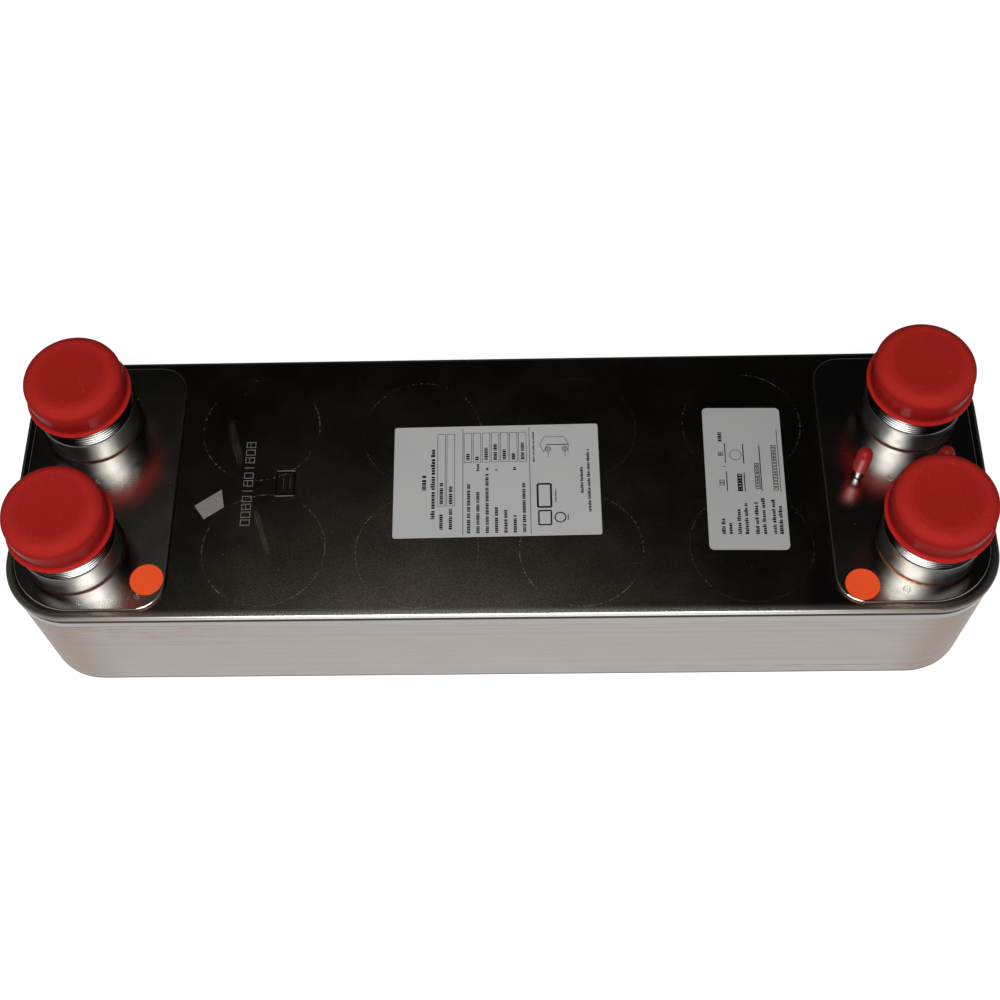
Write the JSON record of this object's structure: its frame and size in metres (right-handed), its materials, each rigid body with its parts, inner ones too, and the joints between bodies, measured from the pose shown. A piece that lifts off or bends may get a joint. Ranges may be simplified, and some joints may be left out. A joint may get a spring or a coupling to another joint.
{
  "type": "brazed plate heat exchanger",
  "caption": "Brazed plate heat exchanger: a stack of pressed plates between covers, with threaded ports and sensor tubes on its face under push-on caps.",
  "frame": {"origin": "centre of the flat back, which the exchanger lies on", "axes": "+X along the length, towards the end with the sensor tubes; +Y across; +Z out of the front cover, along the ports"},
  "size_m": [0.612, 0.185, 0.1584],
  "materials": {
    "plate_edges": "satin, fine level lines and faint copper streaks",
    "seal_plate": "satin",
    "front_cover": "polished sheet with fine scratches",
    "port_plates": "bright sheet, nearly mirror",
    "copper_seam": "copper braze, dull",
    "ports": "turned",
    "sensor_tubes": "drawn tube",
    "port_caps": "soft plastic",
    "sensor_caps": "dipped vinyl",
    "labels": "printed film",
    "stickers": "printed paper",
    "tape": "paper tape"
  },
  "bodies": {
    "root": {"back_cover_plate": "plate_edges", "seal_plate": "seal_plate", "front_cover_plate": "front_cover", "channel_plates_1": "plate_edges", "channel_plates_2": "plate_edges", "channel_plates_3": "plate_edges", "channel_plates_4": "plate_edges", "channel_plates_5": "plate_edges", "channel_plates_6": "plate_edges", "channel_plates_7": "plate_edges", "channel_plates_8": "plate_edges", "channel_plates_9": "plate_edges", "channel_plates_10": "plate_edges", "port_plate_left": "port_plates", "port_plate_right": "port_plates", "port_plate_seam_left": "copper_seam", "port_plate_seam_right": "copper_seam", "port_left_near": "ports", "port_left_far": "ports", "port_right_near": "ports", "port_right_far": "ports", "port_seam_left_near": "copper_seam", "port_seam_left_far": "copper_seam", "port_seam_right_near": "copper_seam", "port_seam_right_far": "copper_seam", "port_cap_left_near": "port_caps", "port_cap_left_far": "port_caps", "port_cap_right_near": "port_caps", "port_cap_right_far": "port_caps", "sensor_tube_inner": "sensor_tubes", "sensor_tube_outer": "sensor_tubes", "sensor_seam_inner": "copper_seam", "sensor_seam_outer": "copper_seam", "sensor_cap_inner": "sensor_caps", "sensor_cap_outer": "sensor_caps", "nameplate": "labels", "test_label": "labels", "sticker_left": "stickers", "sticker_right": "stickers", "tape_scrap": "tape"}
  },
  "joints": []
}
